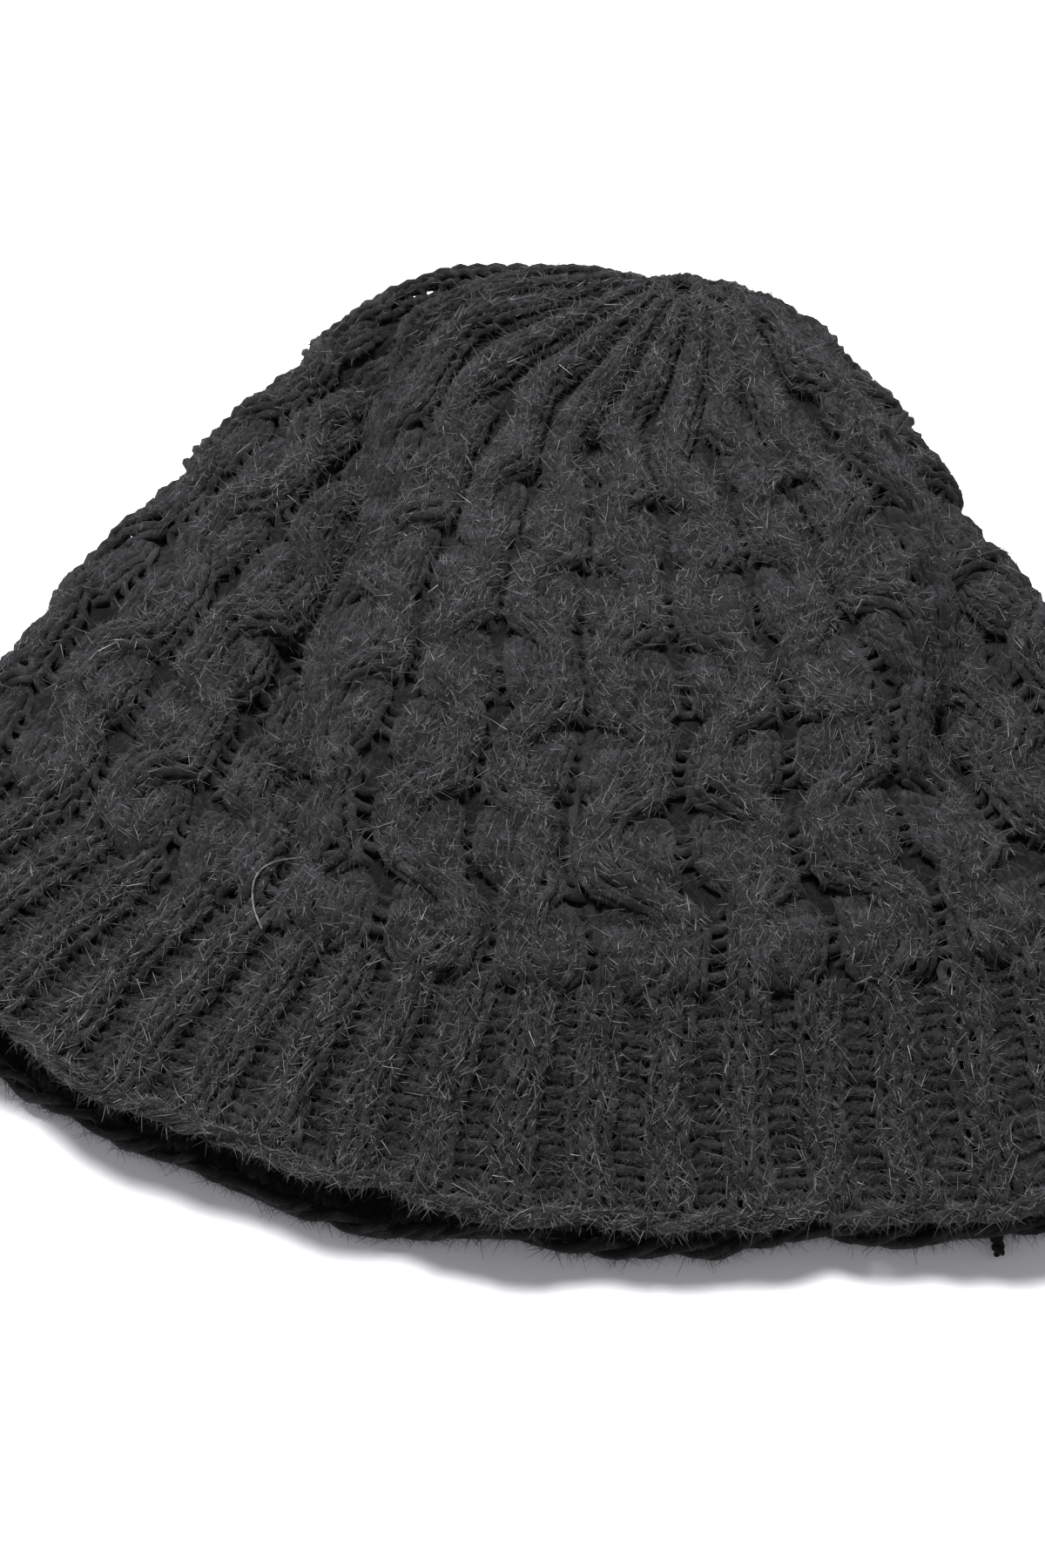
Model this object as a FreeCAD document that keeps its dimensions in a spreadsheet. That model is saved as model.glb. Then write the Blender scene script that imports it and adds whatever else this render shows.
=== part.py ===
import FreeCAD, Part
import os

# Chunky knitted beanie lying flat, mouth towards -Y and crown towards +Y.
# Two soft halves meet at the side folds: the back half rests on the table
# and the front half lies over it, with the head cavity between them.
# Origin: centre of the footprint, on the surface that the beanie rests on.

PARTS_FOLDER = "parts"

# Driving dimensions in millimetres.
DIMENSIONS = [
    ("hat_length", 243.0),         # middle of the brim to the far edge of the crown
    ("hat_half_width", 131.0),     # half of the flat width, across the side folds
    ("brim_radius", 220.0),        # the brim line and the knitted rows are arcs
    ("rim_depth", 4.0),            # cast-on edge
    ("rib_depth", 40.0),           # ribbed band behind the cast-on edge
    ("fabric_thickness", 8.0),     # cables and ribs included
    ("fold_height", 15.0),         # the side folds, where the halves meet
    ("hat_height", 40.0),          # both halves together
    ("halves_gap", 0.3),           # clearance between the halves
    ("front_roll", 14.0),          # rounding of the front half's outline
    ("back_roll", 9.0),            # rounding of the back half's outline
    ("crown_offset", 10.0),        # the gathers sit a little to one side
    ("crown_inset", 22.0),         # gathers to the far edge
    ("crown_reach", 48.0),         # radius of the gathered region
    ("gather_hole", 7.0),          # radius left in the middle of the gathers
    ("gather_ring", 5.0),          # radius of the drawn-up yarn
    ("yarn_radius", 1.3),
    ("crown_tail_length", 38.0),   # woven-in end on the inside
    ("brim_tail_length", 8.0),     # cut end at the cast-on edge
    ("brim_tail_side", 97.0),      # sideways place of that end
    ("brim_tail_lift", 2.0),       # height of that end over the table
    ("tail_clearance", 0.1),
    ("tool_margin", 10.0),         # how far the cutting solids pass the fabric
]


def make_sheet(document):
    """Spreadsheet with one named cell per driving dimension."""
    sheet = document.addObject("Spreadsheet::Sheet", "D")
    sheet.Label = "Dimensions"
    for row, (alias, value) in enumerate(DIMENSIONS, start=1):
        sheet.set("A%d" % row, alias)
        sheet.set("B%d" % row, str(value))
        sheet.setAlias("B%d" % row, alias)
    document.recompute()
    return sheet


def bind(feature, **expressions):
    """Bind properties of a feature to expressions over the sheet."""
    for name, expression in expressions.items():
        feature.setExpression(name, expression)
    return feature


def place(feature, x="0", y="0", z="0"):
    """Bind the feature's position."""
    for axis, expression in (("x", x), ("y", y), ("z", z)):
        feature.setExpression("Placement.Base." + axis, expression)
    return feature


def cylinder(document, name, radius, height, x="0", y="0", z="0"):
    """Vertical cylinder bound to the sheet."""
    feature = document.addObject("Part::Cylinder", name)
    bind(feature, Radius=radius, Height=height)
    return place(feature, x, y, z)


def boolean(document, kind, name, base, tool):
    """Part::Cut, or Part::Common of a base and a tool."""
    feature = document.addObject("Part::" + kind, name)
    feature.Base = base
    feature.Tool = tool
    return feature


def dome(document, name, inset, height, z):
    """Elliptical prism whose long axis points at the crown."""
    outline = document.addObject("Part::Ellipse", name + "_outline")
    outline.Placement.Rotation = FreeCAD.Rotation(FreeCAD.Vector(0, 0, 1), 90)
    corner = "(D.brim_radius - sqrt(D.brim_radius^2 - D.hat_half_width^2))"
    long_radius = "D.hat_length - %s - %s" % (corner, inset)
    short_radius = "D.hat_half_width - %s" % inset
    bind(outline, MajorRadius=long_radius, MinorRadius=short_radius)
    place(outline, y=corner + " - D.hat_length / 2", z=z)
    prism = document.addObject("Part::Extrusion", name)
    prism.Base = outline
    prism.DirMode = "Custom"
    prism.Dir = FreeCAD.Vector(0, 0, 1)
    prism.Solid = True
    bind(prism, LengthFwd=height)
    return prism


def brim_cylinder(document, name, setback):
    """Everything inside the brim arc, moved back by setback."""
    return cylinder(
        document, name,
        radius="D.brim_radius - (%s)" % setback,
        height="D.hat_height + 2 * D.tool_margin",
        y="D.brim_radius - D.hat_length / 2",
        z="-D.tool_margin",
    )


def rounded(document, name, blank, level, radius):
    """Round the outline's edges that lie at the given level, away from the brim."""
    document.recompute()
    edges = [
        index
        for index, edge in enumerate(blank.Shape.Edges, start=1)
        if abs(edge.BoundBox.ZMin - level) < 0.01
        and abs(edge.BoundBox.ZMax - level) < 0.01
        and edge.BoundBox.YMax > 0
    ]
    if not edges:
        raise RuntimeError("%s: no outline edge at %.1f mm" % (name, level))
    fillet = document.addObject("Part::Fillet", name)
    fillet.Base = blank
    fillet.Edges = [(index, radius, radius) for index in edges]
    return fillet


def half_shell(document, side, z, height, cavity_z, cavity_height, level, roll):
    """One half of the beanie: a rounded tray of knitted fabric, open at the brim."""
    blank = boolean(
        document, "Common", side + "_blank",
        dome(document, side + "_dome", "0", height, z),
        brim_cylinder(document, side + "_brim", "0"),
    )
    body = rounded(document, side + "_rounded", blank, level, roll)
    cavity = dome(document, side + "_cavity", "D.fabric_thickness", cavity_height, cavity_z)
    return boolean(document, "Cut", side + "_shell", body, cavity)


def split_half(document, side, shell, crown_column):
    """Cut one half into cast-on edge, ribbed band, cabled body and crown."""
    inside_rim = brim_cylinder(document, side + "_inside_rim", "D.rim_depth")
    inside_rib = brim_cylinder(document, side + "_inside_rib", "D.rim_depth + D.rib_depth")
    rim = boolean(document, "Cut", "cast_on_edge_" + side, shell, inside_rim)
    behind_rim = boolean(document, "Common", side + "_behind_rim", shell, inside_rim)
    rib = boolean(document, "Cut", "rib_band_" + side, behind_rim, inside_rib)
    behind_rib = boolean(document, "Common", side + "_behind_rib", shell, inside_rib)
    body = boolean(document, "Cut", "cable_body_" + side, behind_rib, crown_column)
    crown = boolean(document, "Common", "crown_" + side, behind_rib, crown_column)
    return [rim, rib, body, crown]


def crown_cylinder(document, name, radius):
    """Vertical cylinder about the middle of the gathers."""
    return cylinder(
        document, name,
        radius=radius,
        height="D.hat_height + 2 * D.tool_margin",
        x="D.crown_offset",
        y="D.hat_length / 2 - D.crown_inset",
        z="-D.tool_margin",
    )


def front_half(document, sheet):
    """The half on top, with the opening that the gathers leave."""
    shell = half_shell(
        document, "front",
        z="D.fold_height + D.halves_gap / 2",
        height="D.hat_height - D.fold_height - D.halves_gap / 2",
        cavity_z="0",
        cavity_height="D.hat_height - D.fabric_thickness",
        level=sheet.hat_height,
        roll=sheet.front_roll,
    )
    column = crown_cylinder(document, "front_crown_column", "D.crown_reach")
    nodes = split_half(document, "front", shell, column)
    crown = nodes.pop()
    crown.Label = "crown_front_blank"
    hole = crown_cylinder(document, "gather_opening", "D.gather_hole")
    pierced = boolean(document, "Cut", "crown_front_pierced", crown, hole)
    pierced.Label = "crown_front"
    return nodes + [pierced]


def back_half(document, sheet):
    """The half that lies on the table."""
    shell = half_shell(
        document, "back",
        z="0",
        height="D.fold_height - D.halves_gap / 2",
        cavity_z="D.fabric_thickness",
        cavity_height="D.hat_height",
        level=0.0,
        roll=sheet.back_roll,
    )
    column = crown_cylinder(document, "back_crown_column", "D.crown_reach")
    return split_half(document, "back", shell, column)


def gather_yarn(document):
    """Yarn ring that draws the last row of stitches together."""
    ring = document.addObject("Part::Torus", "crown_gather_yarn")
    bind(ring, Radius1="D.gather_ring", Radius2="D.yarn_radius")
    return place(
        ring,
        x="D.crown_offset",
        y="D.hat_length / 2 - D.crown_inset",
        z="D.hat_height - D.fabric_thickness / 2",
    )


def crown_tail(document):
    """End of the gathering yarn, woven in along the inside of the crown."""
    tail = document.addObject("Part::Cylinder", "crown_yarn_tail")
    tail.Placement.Rotation = FreeCAD.Rotation(FreeCAD.Vector(1, 0, 0), 90)
    bind(tail, Radius="D.yarn_radius", Height="D.crown_tail_length")
    return place(
        tail,
        x="D.crown_offset",
        y="D.hat_length / 2 - D.crown_inset",
        z="D.hat_height - D.fabric_thickness - D.yarn_radius - D.tail_clearance",
    )


def brim_tail(document):
    """Cut end of the cast-on yarn, lying on the table in front of the edge."""
    tail = document.addObject("Part::Cylinder", "brim_yarn_tail")
    tail.Placement.Rotation = FreeCAD.Rotation(FreeCAD.Vector(1, 0, 0), 90)
    bind(tail, Radius="D.yarn_radius", Height="D.brim_tail_length")
    near_side = "(D.brim_tail_side - D.yarn_radius)"
    edge = "D.brim_radius - sqrt(D.brim_radius^2 - %s^2)" % near_side
    return place(
        tail,
        x="D.brim_tail_side",
        y=edge + " - D.hat_length / 2 - D.tail_clearance",
        z="D.yarn_radius + D.brim_tail_lift",
    )


def check(document, nodes):
    """Stop before anything is written if a feature failed."""
    for feature in document.Objects:
        if "Invalid" in feature.State or "Error" in feature.State:
            raise RuntimeError("%s failed: %s" % (feature.Name, feature.State))
    for node in nodes:
        if node.Shape.isNull() or not node.Shape.isValid():
            raise RuntimeError("%s has no valid shape" % node.Label)


def export(nodes):
    """Write one file per node."""
    os.makedirs(PARTS_FOLDER, exist_ok=True)
    for node in nodes:
        node.Shape.exportStep(os.path.join(PARTS_FOLDER, node.Label + ".step"))
        box = node.Shape.BoundBox
        print("%-20s %d solid(s) %10.0f mm3  x %.1f..%.1f  y %.1f..%.1f  z %.1f..%.1f" % (
            node.Label, len(node.Shape.Solids), node.Shape.Volume,
            box.XMin, box.XMax, box.YMin, box.YMax, box.ZMin, box.ZMax))


def main():
    document = FreeCAD.newDocument("beanie")
    sheet = make_sheet(document)
    nodes = front_half(document, sheet) + back_half(document, sheet)
    nodes += [gather_yarn(document), crown_tail(document), brim_tail(document)]
    document.recompute()
    check(document, nodes)
    export(nodes)


main()
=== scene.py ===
"""Charcoal brushed-wool beanie lying flat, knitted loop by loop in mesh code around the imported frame."""

import math

import bpy
import numpy as np
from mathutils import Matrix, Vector


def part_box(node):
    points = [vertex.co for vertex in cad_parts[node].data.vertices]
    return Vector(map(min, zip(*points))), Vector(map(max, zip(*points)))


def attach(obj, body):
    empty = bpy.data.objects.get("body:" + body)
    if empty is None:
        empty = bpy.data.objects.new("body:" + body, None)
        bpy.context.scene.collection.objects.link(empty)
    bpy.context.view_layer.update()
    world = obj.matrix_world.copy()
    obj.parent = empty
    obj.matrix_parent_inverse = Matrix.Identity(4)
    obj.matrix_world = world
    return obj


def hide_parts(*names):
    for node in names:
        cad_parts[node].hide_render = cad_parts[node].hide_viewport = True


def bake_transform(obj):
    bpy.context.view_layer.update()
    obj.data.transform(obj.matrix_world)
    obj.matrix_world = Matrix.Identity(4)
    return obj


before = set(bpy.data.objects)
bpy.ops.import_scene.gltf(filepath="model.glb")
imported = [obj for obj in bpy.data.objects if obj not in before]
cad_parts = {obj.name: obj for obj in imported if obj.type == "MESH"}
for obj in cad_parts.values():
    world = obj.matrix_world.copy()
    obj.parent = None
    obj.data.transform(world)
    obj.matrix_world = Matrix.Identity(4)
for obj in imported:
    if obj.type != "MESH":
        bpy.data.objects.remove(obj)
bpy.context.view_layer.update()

MM = 0.001
random = np.random.default_rng(11)

# Middle of the fabric, in millimetres. y is measured from the middle of the brim.
HALF_LENGTH = 121.5
HALF_WIDTH = 127.5
CORNER_Y = 43.0
DOME_LENGTH = 196.0
FAR_EDGE = 237.5
ACROSS_POWER = 1.9
ALONG_POWER = 1.7
OUTLINE_END = 1.25
CROWN_X = 10.0
CROWN_Y = 231.0
CROWN_Z = 21.0
CROWN_RING = 3.5
FOLD_RADIUS = 10.5

# Lines of the hat's large forms, in millimetres: (where, how much).
RIM_HEIGHT = ([-131, -110, -50, 0, 36, 70, 95, 112, 131], [25, 24, 21, 17.5, 15.5, 15, 17, 21, 22])
VALLEY = ([50, 73, 95, 125, 154, 192, 205, 223, 240], [-38, -49, -52, -54, -51, -55, -48, -32, -10])
RIDGE = ([60, 101, 128, 144, 174, 190, 212, 240], [70, 63, 62, 64, 55, 48, 32, 12])
PLEAT = ([150, 190, 215, 240], [-13, -1, 4, 8])
RIGHT_SIDE = ([115, 150, 172, 198, 215, 235], [0, -6, -9, -8, -4, 0])
LEFT_SIDE = ([120, 150, 185, 203, 220, 235], [1, 4, 2, -2, -8, -3])
BRIM = ([-128, -92, -52, -15, 20, 54, 72, 89, 106, 128], [-6, -4, -2, -1, 1, 1, -2, -6, -9, -10])
VALLEY_DEPTH = 16.5
VALLEY_WIDTH = 8.5
LEFT_SINK = 5.5
RIDGE_RISE = 6.0
RIDGE_DROP = 11.0
PLEAT_DEPTH = 5.0
FOLD_WIDTH = 8.0

# Heights of the middle of the fabric over the table.
TABLE_Z = 4.7
FOLD_Z = 14.0
BODY_Z = 25.0
BODY_CROWN = 8.0
FRONT_FOLD = 20.0
BACK_FOLD = 8.0
FRONT_LOWEST = 13.0
# Side place beyond which the front half counts as side fold.
FRONT_SIDE = 0.86

# The knitting.
COLUMN = 6
COLUMNS = 24
STITCHES = COLUMN * COLUMNS
RIM_DEPTH = 3.4
RIB_ROWS = 15
RIB_PITCH = 2.67
BODY_PITCH = 3.25
CABLE_PERIOD = 12.0
FIRST_CROSSING = 7.2
LAST_CABLE_ROW = 51.0
GATHER_ROWS = 10.0
ROPE_FILL = 0.98
SWAY = 1.15
ROPE_LOW = -2.0
ROPE_RISE = 5.2
BACK_RISE = 2.9
CROSSING_LIFT = 0.7
PROFILE_WIDTH = 1.54
FLOAT_SINK = 3.4
FRONT_PATH = CROWN_Y - CROWN_RING
ROWS = RIB_ROWS + int((FRONT_PATH - RIM_DEPTH - RIB_ROWS * RIB_PITCH) / BODY_PITCH)
PATTERN_X = 8.0
PATTERN_Y = 70.0
RIB_FAN = 4.5
RIB_FAN_LEFT = 1.9
# Rib stitches of one repeat: middle, width and height over the fabric's middle.
# The two knit stitches meet at the crest of the rib.
RIB_REPEAT = 4
RIB_CREST = 1.36
RIB_STITCHES = ((0.68, 1.36, 1.6), (2.04, 1.36, 1.6), (3.04, 0.64, -1.3), (3.68, 0.64, -1.3))

# The yarn.
YARN = 1.02
TWIST = 7.0
# Fuzz weight of the felt: few fibres there, painted dark as shade in the gaps.
FELT_FUZZ = 2.5
END_RADIUS = 1.3
GATHER_RADIUS = 4.0
CROWN_TAIL = 38.0
# Pale thread: stitch coordinate and row of its start, and its height over the fabric's middle.
START_OF_THREAD = (-17.6, 13.9)
THREAD_DEPTH = 4.4
LEG_LEAN = 0.19
LOOP_HEIGHT = 0.72
LOOP_DEPTH = 0.85
SAMPLES = 10
SIDES = 6

# Brushed fibres: half (0 front, 1 back, 2 side folds), piece, lying fibres, standing fibres.
FUZZ = (
    (0, "fuzz_front_a", 98000, 0),
    (0, "fuzz_front_b", 98000, 0),
    (0, "fuzz_front_c", 80000, 6500),
    (1, "fuzz_back", 40000, 5000),
    (2, "fuzz_folds", 60000, 5000),
)


def smooth(t):
    """Smoothstep, clipped to 0..1."""
    t = np.clip(t, 0.0, 1.0)
    return t * t * (3.0 - 2.0 * t)


def hump(t):
    """Bell curve of height 1 that falls to about a third at t = 1."""
    return np.exp(-(t**2))


def along_line(line, at):
    """Value of one of the listed lines."""
    return np.interp(at, *line)


def noise(x, y, seed, around=None):
    """Smooth repeatable noise in -1..1 over a plane, repeating after `around` cells of x."""
    xi = np.floor(x)
    yi = np.floor(y)
    xf = smooth(x - xi)
    yf = smooth(y - yi)

    def lattice(i, j):
        i = i if around is None else np.mod(i, around)
        h = np.sin(i * 127.1 + j * 311.7 + seed * 74.7) * 43758.5453
        return 2.0 * (h - np.floor(h)) - 1.0

    low = lattice(xi, yi) * (1 - xf) + lattice(xi + 1, yi) * xf
    high = lattice(xi, yi + 1) * (1 - xf) + lattice(xi + 1, yi + 1) * xf
    return low * (1 - yf) + high * yf


# ------------------------------------------------------------ the middle surface

def outline_table():
    """The side folds' path: half width and y, against the fraction of its length."""
    angle = np.linspace(0.0, OUTLINE_END, 200)
    across = HALF_WIDTH * np.cos(angle) ** (2.0 / ACROSS_POWER)
    along = CORNER_Y + DOME_LENGTH * np.sin(angle) ** (2.0 / ALONG_POWER)
    run = np.linspace(0.0, 1.0, 40)[1:]
    across = np.append(across, across[-1] + (CROWN_RING - across[-1]) * run)
    along = np.append(along, along[-1] + (CROWN_Y - along[-1]) * run)
    length = np.append(0.0, np.cumsum(np.hypot(np.diff(across), np.diff(along))))
    return length / length[-1], across, along


OUTLINE = outline_table()


def back_path(s):
    """The back half's middle wale: along the table, round the far edge, up to the crown."""
    radius = (CROWN_Z - TABLE_Z) / 2.0
    straight = FAR_EDGE - radius
    run = s * (straight + math.pi * radius)
    turn = np.clip((run - straight) / radius, 0.0, math.pi)
    return np.minimum(run, straight) + radius * np.sin(turn), TABLE_Z + radius * (1.0 - np.cos(turn))


def top_height(x, y, across, s):
    """Height of the front half's middle surface."""
    rim = along_line(RIM_HEIGHT, x)
    swell = np.sin(math.pi * np.clip(s, 0, 1) ** 0.75)
    dome = BODY_Z + BODY_CROWN * np.clip(1 - across**2, 0, 1) ** 0.8 * swell
    z = rim + (dome - rim) * smooth(s / 0.24)
    # Valley down the left: lower fabric to its left, a low swell to its right.
    from_valley = x - along_line(VALLEY, y)
    reach = smooth((y - 50) / 30) * smooth((240 - y) / 16)
    z = z - VALLEY_DEPTH * reach * hump(from_valley / VALLEY_WIDTH)
    z = z - LEFT_SINK * reach * smooth(-from_valley / 14.0)
    z = z + 2.5 * reach * hump((from_valley - 13) / FOLD_WIDTH)
    # Ridge down the right, and the drop beyond it.
    from_ridge = x - along_line(RIDGE, y)
    reach = smooth((y - 70) / 50) * smooth((236 - y) / 16)
    z = z + RIDGE_RISE * reach * hump(from_ridge / FOLD_WIDTH)
    z = z - RIDGE_DROP * reach * hump((from_ridge - 15) / FOLD_WIDTH)
    # Deep pleat that runs down from the gathers.
    reach = smooth((y - 150) / 30) * smooth((238 - y) / 20)
    z = z - PLEAT_DEPTH * reach * hump((x - along_line(PLEAT, y)) / 5.0)
    z = z + (2.0 * noise(x / 34, y / 30, 3) + 1.4 * noise(x / 15, y / 17, 5)) * smooth(s / 0.3)
    crest = 28.0 - 2.0 * across**2
    z = z + (crest - z) * smooth((s - 0.74) / 0.2)
    return z + (CROWN_Z - z) * smooth((s - 0.94) / 0.06)


def surface(p, s):
    """Middle of the fabric at ring fraction p (0 at the left fold, 0.5 at the right) and path fraction s.

    Also returns the side place, -1..1, and the lift, which runs from -1 on the back half to 1 on the front.
    """
    half = np.interp(s, OUTLINE[0], OUTLINE[1])
    fold_y = np.interp(s, OUTLINE[0], OUTLINE[2])
    radius = np.minimum(FOLD_RADIUS, 0.8 * half)
    flat = half - radius
    span = 2.0 * flat + math.pi * radius
    p = np.mod(p, 1.0)
    on_front = p < 0.5
    run = np.where(on_front, p, 1.0 - p) * 2.0 * span
    left = np.clip(run / radius, 0.0, math.pi / 2)
    right = np.clip((span - run) / radius, 0.0, math.pi / 2)
    x = np.clip(run - math.pi * radius / 2.0 - flat, -flat, flat)
    x = x - radius * np.cos(left) + radius * np.cos(right)
    lift = np.minimum(np.sin(left), np.sin(right)) * np.where(on_front, 1.0, -1.0)
    across = x / half
    back_y, back_z = back_path(s)
    middle_y = back_y + (s * FRONT_PATH - back_y) * (1.0 + lift) / 2.0
    y = middle_y + (fold_y - middle_y) * across**2
    x = x + CROWN_X * (smooth(s) * (1 - across**2) + smooth((s - 0.88) / 0.12) * across**2)
    fold_z = FOLD_Z + (CROWN_Z - FOLD_Z) * smooth((s - 0.75) / 0.25)
    x = x + np.clip(across, 0, 1) ** 2 * along_line(RIGHT_SIDE, y)
    x = x + np.clip(-across, 0, 1) ** 2 * along_line(LEFT_SIDE, y)
    drape = 1.0 - smooth(s / 0.4)
    y = y + drape * along_line(BRIM, x)
    y = y - 1.5 * drape * np.maximum(lift, 0.0) * smooth((x - 5) / 30)
    brim = 1.0 - smooth(s / 0.12)
    y = y + 1.6 * brim * (noise(x / 23.0, 3.0 * lift, 21) + 0.5 * noise(x / 9.0, 3.0 * lift, 22))
    z = fold_z + (top_height(x, y, across, s) - fold_z) * np.maximum(lift, 0.0)
    z = z + (back_z - fold_z) * np.maximum(-lift, 0.0)
    return np.stack([x, y, z], axis=-1), across, lift


def path_fraction(row):
    """Path fraction of a row number, which may be fractional."""
    rib = RIM_DEPTH + np.minimum(row, RIB_ROWS) * RIB_PITCH
    return np.clip((rib + np.maximum(row - RIB_ROWS, 0.0) * BODY_PITCH) / FRONT_PATH, 0.0, 1.0)


def even_spacing():
    """Ring fractions of evenly spaced stitches on each row, and each row's length round the hat."""
    fine = np.linspace(0.0, 1.0, 1201)
    spacing = []
    around = []
    for row in range(-2, ROWS + 3):
        points = surface(np.minimum(fine, 1 - 1e-9), np.full_like(fine, path_fraction(row)))[0]
        length = np.append(0.0, np.cumsum(np.linalg.norm(np.diff(points, axis=0), axis=1)))
        spacing.append(np.interp(np.linspace(0, length[-1], STITCHES + 1), length, fine))
        around.append(length[-1])
    return np.array(spacing), np.array(around)


SPACING, AROUND = even_spacing()


def pattern_start():
    """Stitch coordinate of the column boundary that the pattern is centred on."""
    row = RIB_ROWS + (PATTERN_Y - RIM_DEPTH - RIB_ROWS * RIB_PITCH) / BODY_PITCH
    p = np.linspace(0.02, 0.48, 400)
    x = surface(p, np.full_like(p, path_fraction(row)))[0][:, 0]
    return np.interp(np.interp(PATTERN_X, x, p), SPACING[int(row) + 2], np.arange(STITCHES + 1))


START = pattern_start()


def ring_fraction(u, row):
    """Ring fraction of stitch coordinate u, counted from the pattern's start, on a fractional row."""
    u = u + START
    turns = np.floor(u / STITCHES)
    u = u - turns * STITCHES
    k = np.clip(row + 2.0, 0.0, len(SPACING) - 1.001)
    k0 = np.floor(k).astype(int)
    i0 = np.minimum(np.floor(u).astype(int), STITCHES - 1)
    uf = u - i0
    low = SPACING[k0, i0] * (1 - uf) + SPACING[k0, i0 + 1] * uf
    high = SPACING[k0 + 1, i0] * (1 - uf) + SPACING[k0 + 1, i0 + 1] * uf
    return low + (high - low) * (k - k0) + turns


def fabric(u, row, depth):
    """Points at stitch coordinate u, a row and a depth outwards.

    Also returns the normals, the side place, the lift and the height of the fabric's middle.
    """
    p = ring_fraction(u, row)
    s = path_fraction(row)
    here, across, lift = surface(p, s)
    e = 4e-4
    along = surface(p + e, s)[0] - surface(p - e, s)[0]
    up = surface(p, np.minimum(s + e, 1))[0] - surface(p, np.maximum(s - e, 0))[0]
    normal = np.cross(along, up)
    normal /= np.maximum(np.linalg.norm(normal, axis=-1, keepdims=True), 1e-9)
    up /= np.maximum(np.linalg.norm(up, axis=-1, keepdims=True), 1e-9)
    beyond = np.minimum(row * RIB_PITCH + RIM_DEPTH, 0.0)
    point = here + normal * depth[..., None] + up * beyond[..., None]
    return point, normal, across, lift, here[..., 2]


def half_label(across, lift, middle, whole_front=True):
    """0 on the front half, 1 on the back half, 2 at the side folds.

    With whole_front, high fabric at the sides belongs to the front half as well.
    """
    label = np.full(lift.shape, 2)
    label[(lift > 0) & (np.abs(across) < FRONT_SIDE) & (middle > FRONT_LOWEST)] = 0
    if whole_front:
        label[(middle > FRONT_FOLD + 3.0) & (lift > 0)] = 0
    label[(lift < 0) & (middle < BACK_FOLD - 1.0)] = 1
    return label


# ------------------------------------------------------------ the stitches

def travel(v, rows):
    """Sideways place of a cable stitch, -1..1, that crosses over in the given number of rows."""
    half = CABLE_PERIOD / 2.0
    phase = np.mod(v - FIRST_CROSSING, CABLE_PERIOD)
    rise = smooth(np.mod(phase, half) / rows)
    return np.where(phase < half, -1.0, 1.0) * (2.0 * rise - 1.0)


def cable_place(stitch, v, loop):
    """Stitch coordinate and depth of cable stitches at rows v and loop offsets.

    A stitch is its column, the column's side, its place in its strand, its width, and 1 for the rope that
    crosses in front or 0 for the strand that crosses behind.
    """
    column, side, place, width, rope = (stitch[:, k, None] for k in range(5))
    gather = smooth((v - LAST_CABLE_ROW) / GATHER_ROWS)
    start = smooth((v - RIB_ROWS + 1.0) / 2.0)
    phase = np.mod(v - FIRST_CROSSING, CABLE_PERIOD)
    heading = np.where(phase < CABLE_PERIOD / 2.0, -side, side)
    rows = np.where(rope > 0, 3.2 - 1.0 * np.clip(place, -1, 1) * heading, 3.2)
    swing = side * travel(v, rows) * SWAY * (1.0 - gather)
    since = np.mod(phase, CABLE_PERIOD / 2.0)
    crossing = hump((since - 1.2) / 1.5) * (1.0 - gather)
    middle = (column + 0.5) * COLUMN
    rope_fill = ROPE_FILL + 0.65 * gather
    back_fill = ROPE_FILL - 0.63 * gather
    rope_x = (place + loop) * width * rope_fill
    back_x = (place + loop) * width * back_fill
    rope_round = np.clip(1.0 - (rope_x / (PROFILE_WIDTH * rope_fill)) ** 2, 0.0, 1.0) ** 0.5
    back_round = np.clip(1.0 - (back_x / (PROFILE_WIDTH * back_fill)) ** 2, 0.0, 1.0) ** 0.5
    rope_h = ROPE_LOW - 1.8 * gather + (ROPE_RISE + 1.3 * gather) * rope_round + CROSSING_LIFT * crossing
    emerge = smooth((since - 1.0) / 2.5) - 1.1 * smooth((since - 4.7) / 1.2)
    back_h = ROPE_LOW - 1.9 * gather + (BACK_RISE * back_round + 1.5 * emerge) * (1.0 - gather)
    u = middle + np.where(rope > 0, swing + rope_x, back_x - swing + 3.0 * gather)
    return u, np.where(rope > 0, rope_h, back_h) * start


def body_row(row):
    """Stitches of one round of the cables, in the order in which the yarn makes them."""
    width = AROUND[row + 2] / COLUMNS
    rope_count = 3 if width > 7.0 else 2 if width > 4.0 else 1
    back_count = 3 if width > 16.5 else 2 if width > 11.0 else 1 if width > 5.0 else 0
    stitches = []
    for column in range(COLUMNS):
        side = 1.0 if column % 2 == 0 else -1.0
        rope = []
        for k in range(rope_count):
            place = k - (rope_count - 1) / 2.0
            rope.append((column, side, place, 3.0 / rope_count, 1.0))
        back = []
        for k in range(back_count):
            place = k - (back_count - 1) / 2.0
            back.append((column, side, place, 3.0 / back_count, 0.0))
        on_left = side * travel(row + 0.5, 3.0) < 0 or row > LAST_CABLE_ROW + 3
        stitches += rope + back if on_left else back + rope
    return np.array(stitches)


def rib_row():
    """Stitches of one round of the 2x2 rib: knit pairs stand proud and wide, purl pairs sink between."""
    stitches = []
    for rib in range(STITCHES // RIB_REPEAT):
        for place, wide, high in RIB_STITCHES:
            stitches.append((rib * RIB_REPEAT + place, wide, high))
    return np.array(stitches)


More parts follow.
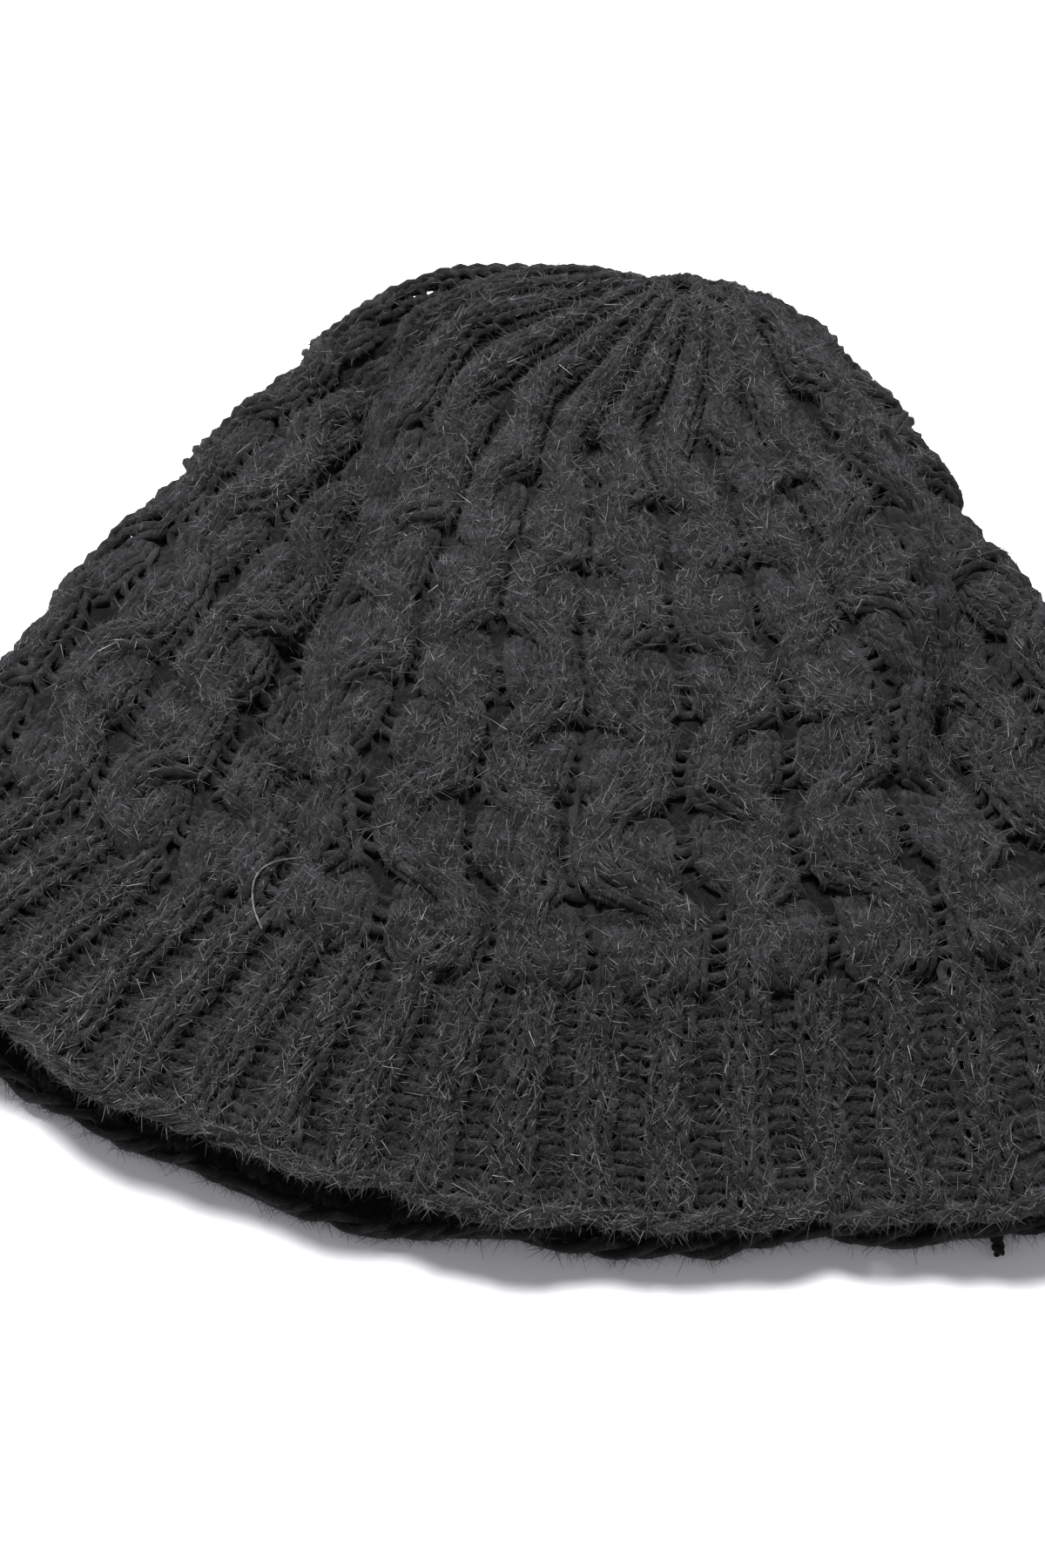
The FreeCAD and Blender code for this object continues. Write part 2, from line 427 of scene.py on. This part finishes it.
def row_path(row):
    """Centre line of one round of yarn: stitch coordinate, row and depth per sample."""
    angle = -math.pi + 2 * math.pi * (np.arange(SAMPLES) + 0.5) / SAMPLES
    in_rib = row < RIB_ROWS
    knit = rib_row() if in_rib else body_row(row)
    jitter = random.normal(0.0, 1.0, (len(knit), 4))
    loop = angle / (2 * math.pi) + LEG_LEAN * np.sin(2 * angle)
    loop = loop * (1.0 + 0.06 * jitter[:, 0, None]) + 0.06 * jitter[:, 1, None]
    tall = LOOP_HEIGHT * (1.0 + 0.07 * jitter[:, 2])
    v = row + 0.5 + 0.07 * jitter[:, 3, None] + tall[:, None] * np.cos(angle)
    if in_rib:
        u = knit[:, 0, None] + knit[:, 1, None] * loop
        depth = knit[:, 2, None] * np.ones_like(loop)
        face = np.sign(depth)
        from_crest = np.mod(u, RIB_REPEAT) - RIB_CREST
        depth = np.where(depth > 0, depth * 1.25 - from_crest**2, depth)
    else:
        u, depth = cable_place(knit, v, loop)
        face = 1.0
    depth = depth - face * LOOP_DEPTH * np.cos(2 * angle)
    return u.ravel(), v.ravel(), depth.ravel()


def soften(a, turn=0.0):
    """Average each sample of a closed round with its neighbours; turn is what one whole round adds."""
    before = np.roll(a, 1)
    before[0] -= turn
    after = np.roll(a, -1)
    after[-1] += turn
    return 0.25 * before + 0.5 * a + 0.25 * after


def rib_fan(u, v):
    """Stitches by which the ribs lean: they spread out towards the brim, more on the left."""
    turn = 2 * math.pi * (u + START - STITCHES / 4) / STITCHES
    lean = RIB_FAN_LEFT * np.sin(turn) ** 2 - RIB_FAN * np.sin(turn)
    return lean * np.clip(v / RIB_ROWS, -0.1, 1.0)


def knit_round(row):
    """Points, normals, radii, half labels and fuzz-and-shade weights along one round; the weights set both
    how many fibres grow and their painted shade.
    """
    u, v, depth = row_path(row)
    u = soften(u, STITCHES)
    v = soften(v)
    jump = np.abs(np.roll(u, -1) - u)
    floats = smooth((np.maximum(jump, np.roll(jump, 1)) - 0.6) / 0.25) * (jump < STITCHES / 2)
    sink = 1.5 if row < RIB_ROWS else FLOAT_SINK * (1.0 - smooth((row - LAST_CABLE_ROW) / GATHER_ROWS))
    depth = soften(depth) - floats * sink
    if row < RIB_ROWS:
        u = u + rib_fan(u, v)
    uneven = smooth(v / 20.0)
    u, v = (
        u + 0.5 * uneven * noise(u / 9.0, v / 10.0, 31, STITCHES / 9),
        v + 0.6 * uneven * noise(u / 12.0, v / 9.0, 32, STITCHES / 12),
    )
    lift = surface(ring_fraction(u, v), path_fraction(v))[2]
    depth = depth * (1.0 - 0.4 * smooth(-lift * 1.5))
    point, normal, across, lift, middle = fabric(u, v, depth)
    region = half_label(across, lift, middle)
    radius = YARN * (1.0 + 0.12 * noise(u * 1.7, v * 3.1, 9) + 0.05 * random.normal(size=len(u)))
    radius = radius * np.where(v > RIB_ROWS, 1.12, 1.0)
    radius = radius * np.interp(AROUND[row + 2] / COLUMNS, [4, 14], [0.7, 1.0])
    # Deeper yarn gets fewer and darker fibres, raised yarn more and lighter ones: the darkening is painted
    # shade. The rib's factor adds fibres and lightens them too.
    fuzz_and_shade = np.exp(0.4 * depth) * (1.4 if row < RIB_ROWS else 1.0)
    return point, normal, radius, region, fuzz_and_shade


# ------------------------------------------------------------ meshes

def tube(point, normal, radius, closed):
    """Rings of vertices round a line, as an array of shape (points, SIDES, 3)."""
    if closed:
        tangent = np.roll(point, -1, axis=0) - np.roll(point, 1, axis=0)
    else:
        tangent = np.gradient(point, axis=0)
    tangent /= np.maximum(np.linalg.norm(tangent, axis=1, keepdims=True), 1e-9)
    side = np.cross(tangent, normal)
    side /= np.maximum(np.linalg.norm(side, axis=1, keepdims=True), 1e-9)
    out = np.cross(side, tangent)
    angle = 2 * math.pi * np.arange(SIDES) / SIDES
    ring = np.cos(angle)[None, :, None] * out[:, None, :] + np.sin(angle)[None, :, None] * side[:, None, :]
    return point[:, None, :] + ring * radius[:, None, None]


def to_frame(vertices):
    """From hat millimetres to the row frame, in metres."""
    moved = np.array(vertices, float)
    moved[:, 1] -= HALF_LENGTH
    return moved * MM


def new_mesh(name, vertices, faces, material):
    """Smooth-shaded mesh object from arrays of vertices, in hat millimetres, and quads."""
    mesh = bpy.data.meshes.new(name)
    sides = faces.shape[1]
    mesh.vertices.add(len(vertices))
    mesh.vertices.foreach_set("co", to_frame(vertices).astype(np.float32).ravel())
    mesh.loops.add(faces.size)
    mesh.loops.foreach_set("vertex_index", faces.astype(np.int32).ravel())
    mesh.polygons.add(len(faces))
    mesh.polygons.foreach_set("loop_start", np.arange(0, faces.size, sides, dtype=np.int32))
    mesh.polygons.foreach_set("use_smooth", np.full(len(faces), True))
    mesh.update(calc_edges=True)
    mesh.materials.append(material)
    obj = bpy.data.objects.new(name, mesh)
    bpy.context.collection.objects.link(obj)
    return obj


def compact(vertices, extra, faces):
    """Drop the vertices that no face uses."""
    used = np.unique(faces)
    index = np.zeros(len(vertices), int)
    index[used] = np.arange(len(used))
    return vertices[used], extra[used], index[faces]


def set_attribute(obj, name, kind, values):
    """Store one value per vertex for the material to read."""
    attribute = obj.data.attributes.new(name, kind, "POINT")
    field = "vector" if kind == "FLOAT_VECTOR" else "value"
    attribute.data.foreach_set(field, np.ascontiguousarray(values, dtype=np.float32).ravel())


class Yarns:
    """Collects yarn tubes by piece."""

    def __init__(self):
        self.pieces = {}

    def add(self, piece, vertices, strand, faces):
        """Add faces to a piece; strand is one vector per vertex for the material."""
        store = self.pieces.setdefault(piece, {"vertices": [], "strand": [], "faces": [], "count": 0})
        store["vertices"].append(vertices)
        store["strand"].append(strand)
        store["faces"].append(faces + store["count"])
        store["count"] += len(vertices)

    def line(self, point, normal, radius, labels, names, closed):
        """Add a tube, its segments shared out over the pieces by label."""
        rings = tube(point, normal, radius, closed)
        count = len(rings)
        step = np.linalg.norm(np.diff(point, axis=0), axis=1)
        length = np.append(0.0, np.cumsum(step))
        turn = 2 * math.pi * (np.arange(SIDES) / SIDES + length[:, None] / TWIST)
        strand = np.stack([np.broadcast_to(length[:, None], turn.shape), np.cos(turn), np.sin(turn)], axis=-1)
        strand[..., 0] += random.uniform(0, 1000)
        here = np.arange(count) if closed else np.arange(count - 1)
        there = (here + 1) % count
        k = np.arange(SIDES)
        k1 = (k + 1) % SIDES
        corners = [
            here[:, None] * SIDES + k,
            there[:, None] * SIDES + k,
            there[:, None] * SIDES + k1,
            here[:, None] * SIDES + k1,
        ]
        quads = np.stack(corners, axis=-1)
        for label, name in enumerate(names):
            chosen = quads[labels[here] == label].reshape(-1, 4)
            if len(chosen):
                self.add(name, *compact(rings.reshape(-1, 3), strand.reshape(-1, 3), chosen))


def knit(yarns):
    """Knit every round of the rib and the body; returns the samples for the fuzz."""
    samples = []
    for row in range(ROWS):
        point, normal, radius, region, fuzz_and_shade = knit_round(row)
        if row < RIB_ROWS:
            names = ("rib_front", "rib_back", "rib_side_folds")
        elif row < RIB_ROWS + 16:
            names = ("cables_front_low", "cables_back_low", "cables_side_folds")
        elif row < RIB_ROWS + 32:
            names = ("cables_front_middle", "cables_back_middle", "cables_side_folds")
        elif row < ROWS - 12:
            names = ("cables_front_high", "cables_back_high", "cables_side_folds_high")
        else:
            names = ("crown_front_knit", "crown_back_knit", "cables_side_folds_high")
        yarns.line(point, normal, radius, region, names, True)
        samples.append((point, normal, radius, region, fuzz_and_shade))
    return samples


def felt(yarns):
    """Matted fibres that close the gaps in the knit, as a thin uneven sheet; returns samples for the fuzz.
    Its pieces get a darker copy of the wool, which is painted shade in the gaps.
    """
    columns = STITCHES * 2
    lines = ROWS * 2 + 1
    u, v = np.meshgrid(np.arange(columns) / 2.0, np.arange(lines) / 2.0 - 0.7, indexing="ij")
    gather = smooth((v - LAST_CABLE_ROW) / GATHER_ROWS)
    depth = np.where(v < RIB_ROWS - 1, -1.3, -0.9) - 0.9 * gather + 0.25 * random.normal(size=u.shape)
    lift = surface(ring_fraction(u, v), path_fraction(v))[2]
    depth = depth * (1.0 - 0.4 * smooth(-lift * 1.5))
    point, normal, across, lift, middle = fabric(u, v, depth)
    region = half_label(across, lift, middle)
    index = np.arange(columns * lines).reshape(columns, lines)
    ahead = np.roll(index, -1, axis=0)
    quads = np.stack([index[:, :-1], ahead[:, :-1], ahead[:, 1:], index[:, 1:]], axis=-1).reshape(-1, 4)
    label = region[:, :-1].ravel()
    strand = np.stack([u * 4.0, v * 0.3, depth], axis=-1).reshape(-1, 3)
    for k, name in enumerate(("felt_front", "felt_back", "felt_side_folds")):
        yarns.add(name, *compact(point.reshape(-1, 3), strand, quads[label == k]))
    shallow = np.full(lines, 0.1)
    # Felt samples give few fibres, and the tone rule paints them dark: painted shade in the gaps.
    return [(point[k], normal[k], shallow, region[k], shallow * FELT_FUZZ) for k in range(columns)]


def cast_on(yarns):
    """Rolled cast-on edge: strands laid loosely round each other; returns samples for the fuzz."""
    samples = []
    steps = STITCHES * 6
    u = np.arange(steps) / 6.0
    for strand in range(3):
        turn = 2 * math.pi * (u / 6.0 + strand / 3.0)
        turn = turn + 2.0 * noise(u / 3.0, strand + 2.5, 44, STITCHES / 3)
        swell = 1.0 + 0.45 * noise(u / 3.0, 0.5, 41, STITCHES / 3)
        v = -0.70 + 0.38 * np.sin(turn) * swell + 0.40 * noise(u / 3.0, 5.5, 42, STITCHES / 3)
        depth = 0.4 + 1.15 * np.cos(turn) * swell
        point, normal, across, lift, middle = fabric(u + rib_fan(u, v), v, depth)
        region = half_label(across, lift, middle, whole_front=False)
        radius = 1.05 * (1.0 + 0.22 * noise(u * 1.3, strand + 0.5, 43))
        names = ("cast_on_front", "cast_on_back", "cast_on_side_folds")
        yarns.line(point, normal, radius, region, names, True)
        # Dense fibres on the cast-on edge, which the tone rule paints at their lightest: painted light on the
        # edge.
        samples.append((point, normal, radius, region, np.where(region == 0, 4.0, 14.0)))
    return samples


def two_ply(yarns, piece, centre, radius, pitch, closed):
    """Two strands twisted round a centre line of closely spaced points."""
    step = np.linalg.norm(np.diff(centre, axis=0), axis=1)
    length = np.append(0.0, np.cumsum(step))
    tangent = np.gradient(centre, axis=0)
    if closed:
        tangent = np.roll(centre, -1, axis=0) - np.roll(centre, 1, axis=0)
        total = length[-1] + np.linalg.norm(centre[0] - centre[-1])
        pitch = total / max(round(total / pitch), 1)
    tangent /= np.linalg.norm(tangent, axis=1, keepdims=True)
    side = np.cross(tangent, (0.0, 0.0, 1.0))
    side /= np.linalg.norm(side, axis=1, keepdims=True)
    up = np.cross(side, tangent)
    for ply in range(2):
        turn = (2 * math.pi * length / pitch + math.pi * ply)[:, None]
        point = centre + 0.5 * radius * (np.cos(turn) * side + np.sin(turn) * up)
        thick = 0.55 * radius * (1.0 + 0.08 * noise(length, ply + 0.5, 51))
        if not closed:
            thick = thick * np.clip((length[-1] - length) / 0.8 + 0.35, 0.35, 1.0)
        yarns.line(point, up, thick, np.zeros(len(point), int), (piece,), closed)


def yarn_ends(yarns):
    """Gathering yarn, its woven-in end, the cut end at the brim and a loose pale thread on the front."""
    angle = np.linspace(0, 2 * math.pi, 96, endpoint=False)
    ring_x = CROWN_X + GATHER_RADIUS * np.cos(angle)
    ring_y = CROWN_Y + GATHER_RADIUS * np.sin(angle)
    ring = np.stack([ring_x, ring_y, np.full(len(angle), CROWN_Z - 0.5)], axis=1)
    two_ply(yarns, "crown_gather_yarn", ring, END_RADIUS, 4.0, True)
    s = path_fraction(ROWS) - np.linspace(0.02, 0.02 + CROWN_TAIL / FRONT_PATH, 60)
    tail = surface(np.full(60, 0.25), s)[0] + (0.0, 0.0, -6.0)
    two_ply(yarns, "crown_yarn_tail", tail, END_RADIUS, 4.0, False)
    t = np.linspace(0.0, 1.0, 30)
    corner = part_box("brim_yarn_tail")
    x = (corner[0][0] + corner[1][0]) / 2 / MM
    y = corner[1][1] / MM + HALF_LENGTH
    z = (corner[0][2] + corner[1][2]) / 2 / MM
    tail = np.stack([x + 1.5 * t**2, y + 3.0 - 10.0 * t, z - 1.2 * t], axis=1)
    two_ply(yarns, "brim_yarn_tail", tail, END_RADIUS, 3.4, False)
    u = START_OF_THREAD[0] + 1.3 * t - 1.9 * np.sin(math.pi * t)
    v = START_OF_THREAD[1] + 6.4 * t
    point = fabric(u, v, np.full(30, THREAD_DEPTH))[0]
    two_ply(yarns, "pale_thread_front", point, 0.19, 1.2, False)


# ------------------------------------------------------------ materials

def add_node(tree, kind, **values):
    """New shader node with some of its inputs set by name."""
    node = tree.nodes.new("ShaderNode" + kind)
    for name, value in values.items():
        node.inputs[name.replace("_", " ")].default_value = value
    return node


def base_wool(name, sheen):
    """Matt, slightly sheened wool without a colour yet."""
    material = bpy.data.materials.new(name)
    material.use_nodes = True
    shader = material.node_tree.nodes["Principled BSDF"]
    shader.inputs["Roughness"].default_value = 0.92
    shader.inputs["Specular IOR Level"].default_value = 0.1
    shader.inputs["Sheen Weight"].default_value = sheen
    shader.inputs["Sheen Roughness"].default_value = 0.55
    shader.inputs["Sheen Tint"].default_value = (0.80, 0.82, 0.86, 1.0)
    return material, material.node_tree, shader


def ramp(tree, source, stops):
    """Colour ramp over a 0..1 value; stops are (position, colour)."""
    node = tree.nodes.new("ShaderNodeValToRGB")
    elements = node.color_ramp.elements
    for element, (position, colour) in zip(elements, (stops[0], stops[-1])):
        element.position = position
        element.color = (*colour, 1.0)
    for position, colour in stops[1:-1]:
        element = elements.new(position)
        element.color = (*colour, 1.0)
    tree.links.new(source, node.inputs["Fac"])
    return node.outputs["Color"]


def yarn_wool(name, dark, mid, light):
    """Spun wool: fibre streaks that wind round the strand, over blotches of brushed and plain yarn."""
    material, tree, shader = base_wool(name, 0.06)
    strand = add_node(tree, "Attribute")
    strand.attribute_name = "strand"
    stretch = add_node(tree, "VectorMath")
    stretch.operation = "MULTIPLY"
    stretch.inputs[1].default_value = (0.35, 2.6, 2.6)
    tree.links.new(strand.outputs["Vector"], stretch.inputs[0])
    streak = add_node(tree, "TexNoise", Scale=1.6, Detail=4.0, Roughness=0.65)
    tree.links.new(stretch.outputs["Vector"], streak.inputs["Vector"])
    place = add_node(tree, "TexCoord")
    blotch = add_node(tree, "TexNoise", Scale=160.0, Detail=5.0, Roughness=0.6)
    tree.links.new(place.outputs["Object"], blotch.inputs["Vector"])
    both = add_node(tree, "Math")
    both.operation = "MULTIPLY"
    tree.links.new(streak.outputs["Fac"], both.inputs[0])
    tree.links.new(blotch.outputs["Fac"], both.inputs[1])
    colour = ramp(tree, both.outputs["Value"], [(0.17, dark), (0.26, mid), (0.36, light)])
    tree.links.new(colour, shader.inputs["Base Color"])
    bump = add_node(tree, "Bump", Strength=1.0, Distance=0.0007)
    tree.links.new(streak.outputs["Fac"], bump.inputs["Height"])
    tree.links.new(bump.outputs["Normal"], shader.inputs["Normal"])
    return material


def fibre_wool(name):
    """Loose fibres, each with its own tone, which holds random variation and painted shade."""
    material, tree, shader = base_wool(name, 0.10)
    tone = add_node(tree, "Attribute")
    tone.attribute_name = "tone"
    stops = [
        (0.0, (0.006, 0.006, 0.006)),
        (0.45, (0.036, 0.036, 0.0375)),
        (0.9, (0.14, 0.14, 0.144)),
        (1.0, (0.28, 0.28, 0.28)),
    ]
    tree.links.new(ramp(tree, tone.outputs["Fac"], stops), shader.inputs["Base Color"])
    return material


def pale_floor():
    """Plain pale floor, which isn't part of the object."""
    material = bpy.data.materials.new("floor")
    material.use_nodes = True
    shader = material.node_tree.nodes["Principled BSDF"]
    shader.inputs["Base Color"].default_value = (0.91, 0.905, 0.925, 1.0)
    shader.inputs["Roughness"].default_value = 0.8
    size = 3.0
    mesh = bpy.data.meshes.new("floor")
    corners = [(-size, -size, 0), (size, -size, 0), (size, size, 0), (-size, size, 0)]
    mesh.from_pydata(corners, [], [(0, 1, 2, 3)])
    mesh.materials.append(material)
    floor = bpy.data.objects.new("floor", mesh)
    bpy.context.collection.objects.link(floor)


# ------------------------------------------------------------ fuzz

def fibres(pool, count, length, width, rise, segments):
    """Ribbons that start on the yarn and curl over the fabric.

    Returns vertices, quads and a tone per vertex.
    """
    point, normal, tangent, radius, fuzz_and_shade = pool
    chosen = random.choice(len(point), count, p=fuzz_and_shade / fuzz_and_shade.sum())
    out = normal[chosen] * np.where(random.uniform(size=(count, 1)) < 0.1, -1.0, 1.0)
    along = tangent[chosen]
    across = np.cross(along, out)
    lean = random.normal(0.0, 0.75, (count, 1))
    away = np.cos(lean) * out + np.sin(lean) * across
    root = point[chosen] + away * radius[chosen, None] * 0.85 + along * random.normal(0, 0.5, (count, 1))
    heading = random.choice([-1.0, 1.0], (count, 1)) * along + random.normal(0, 0.7, (count, 1)) * across
    heading += random.uniform(-0.1, 1.0, (count, 1)) * rise * away * 2.0
    heading /= np.linalg.norm(heading, axis=1, keepdims=True)
    bend = random.normal(0, 0.6, (count, 3))
    twist = random.normal(0, 0.6, (count, 3))
    bend -= (np.sum(bend * out, axis=1, keepdims=True) * 0.6 + 0.35 * rise) * out
    twist -= np.sum(twist * out, axis=1, keepdims=True) * 0.6 * out
    size = np.minimum(random.gamma(5.0, length / 5.0, (count, 1)), 1.8 * length)
    size = size * np.minimum(1.0, 1.3 / np.linalg.norm(heading + bend + twist, axis=1, keepdims=True))
    flat = np.cross(heading, out + 0.35 * random.normal(size=(count, 3)))
    flat /= np.maximum(np.linalg.norm(flat, axis=1, keepdims=True), 1e-9)
    half = random.uniform(0.35, 1.0, (count, 1)) * width / 2
    rings = []
    for step in range(segments + 1):
        t = step / segments
        centre = root + size * t * (heading + bend * t + twist * t * t)
        thick = half * (1.0 - 0.75 * t)
        rings.append(centre - flat * thick)
        rings.append(centre + flat * thick)
    per = 2 * (segments + 1)
    vertices = np.stack(rings, axis=1).reshape(-1, 3)
    vertices[:, 2] = np.maximum(vertices[:, 2], 0.12)
    base = np.arange(count)[:, None] * per
    quads = [base + 2 * k + np.array([0, 1, 3, 2]) for k in range(segments)]
    quads = np.stack(quads, axis=1).reshape(-1, 4)
    # The fuzz weight also sets the tone: painted shade on fibres from deep in the knit, painted light on
    # those from raised yarn and the edge.
    painted_shade = np.clip(0.45 + 0.28 * fuzz_and_shade[chosen], 0.0, 1.0)
    tone = np.repeat(random.beta(2.0, 2.2, count) * painted_shade, per)
    return vertices, quads, tone


def fuzz(samples, material):
    """Brushed fibres: most lie over the stitches, a few stand off as a halo."""
    point = np.concatenate([s[0] for s in samples])
    normal = np.concatenate([s[1] for s in samples])
    radius = np.concatenate([s[2] for s in samples])
    region = np.concatenate([s[3] for s in samples])
    fuzz_and_shade = np.concatenate([s[4] for s in samples])
    tangent = np.concatenate([np.roll(s[0], -1, axis=0) - np.roll(s[0], 1, axis=0) for s in samples])
    tangent /= np.maximum(np.linalg.norm(tangent, axis=1, keepdims=True), 1e-9)
    for label, name, lying, standing in FUZZ:
        here = region == label
        pool = (point[here], normal[here], tangent[here], radius[here], fuzz_and_shade[here])
        parts = [fibres(pool, lying, 2.0, 0.20, 0.15, 1)]
        if standing:
            parts.append(fibres(pool, standing, 1.3, 0.06, 0.7, 3))
        vertices = []
        quads = []
        tones = []
        for part in parts:
            quads.append(part[1] + sum(len(v) for v in vertices))
            vertices.append(part[0])
            tones.append(part[2])
        obj = new_mesh(name, np.concatenate(vertices), np.concatenate(quads), material)
        set_attribute(obj, "tone", "FLOAT", np.concatenate(tones))
        finish_piece(obj, label)


def finish_piece(obj, label):
    """Attach the piece to its half; a piece across the side folds gets its transform applied and no parent.
    """
    if label == 0:
        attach(obj, "front_half")
    elif label == 1:
        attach(obj, "back_half")
    else:
        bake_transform(obj)


# ------------------------------------------------------------ build

yarns = Yarns()
samples = cast_on(yarns) + knit(yarns) + felt(yarns)
yarn_ends(yarns)
charcoal = yarn_wool("charcoal_wool", (0.002, 0.002, 0.002), (0.009, 0.009, 0.0095), (0.04, 0.04, 0.042))
# The felt's copy of the wool is darker than the yarn: painted shade in the gaps of the knit.
matted = yarn_wool("matted_wool", (0.002, 0.002, 0.002), (0.005, 0.005, 0.0052), (0.014, 0.014, 0.0145))
pale = yarn_wool("pale_thread", (0.14, 0.14, 0.14), (0.28, 0.28, 0.28), (0.5, 0.5, 0.5))
loose = fibre_wool("charcoal_fibres")

STANDS_FOR = {
    "cast_on_front": ("cast_on_edge_front",),
    "cast_on_back": ("cast_on_edge_back",),
    "rib_front": ("rib_band_front",),
    "rib_back": ("rib_band_back",),
    "cables_front_middle": ("cable_body_front",),
    "cables_back_middle": ("cable_body_back",),
    "crown_front_knit": ("crown_front",),
    "crown_back_knit": ("crown_back",),
    "crown_gather_yarn": ("crown_gather_yarn",),
    "crown_yarn_tail": ("crown_yarn_tail",),
    "brim_yarn_tail": ("brim_yarn_tail",),
}
LOOSE_ENDS = {"crown_gather_yarn": 0, "crown_yarn_tail": 0, "brim_yarn_tail": 1, "pale_thread_front": 0}

for name, store in yarns.pieces.items():
    # Felt pieces take the darker wool, which is painted shade in the knit's gaps.
    material = matted if name.startswith("felt") else pale if name.startswith("pale") else charcoal
    obj = new_mesh(name, np.concatenate(store["vertices"]), np.concatenate(store["faces"]), material)
    set_attribute(obj, "strand", "FLOAT_VECTOR", np.concatenate(store["strand"]))
    if name in LOOSE_ENDS:
        finish_piece(obj, LOOSE_ENDS[name])
    else:
        label = 0 if "_front" in name else 1 if "_back" in name else 2
        finish_piece(obj, label)
    if name in STANDS_FOR:
        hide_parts(*STANDS_FOR[name])
    print("%-28s %8d faces" % (name, len(obj.data.polygons)))

fuzz(samples, loose)

# ------------------------------------------------------------ light, floor and camera

pale_floor()

world = bpy.data.worlds.new("studio")
world.use_nodes = True
world.node_tree.nodes["Background"].inputs["Color"].default_value = (0.975, 0.965, 1.0, 1.0)
world.node_tree.nodes["Background"].inputs["Strength"].default_value = 0.47
bpy.context.scene.world = world


def area_light(name, location, target, size, power):
    """Large soft light aimed at a point."""
    data = bpy.data.lights.new(name, "AREA")
    data.shape = "DISK"
    data.size = size
    data.energy = power
    light = bpy.data.objects.new(name, data)
    light.location = location
    light.rotation_mode = "QUATERNION"
    light.rotation_quaternion = (Vector(target) - Vector(location)).to_track_quat("-Z", "Y")
    bpy.context.collection.objects.link(light)


area_light("key", (-0.22, 0.22, 1.15), (0, 0, 0), 0.35, 28.0)

camera_data = bpy.data.cameras.new("camera")
camera_data.lens = 70.0
camera_data.sensor_width = 36.0
camera = bpy.data.objects.new("camera", camera_data)
azimuth = math.radians(9)
elevation = math.radians(57)
distance = 0.640
target = Vector((-0.008, -0.014, 0.0))
away = Vector((
    math.sin(azimuth) * math.cos(elevation),
    -math.cos(azimuth) * math.cos(elevation),
    math.sin(elevation),
))
camera.location = target + away * distance
camera.rotation_mode = "QUATERNION"
camera.rotation_quaternion = (-away).to_track_quat("-Z", "Y")
bpy.context.collection.objects.link(camera)
bpy.context.scene.camera = camera
bpy.context.scene.view_settings.view_transform = "Standard"
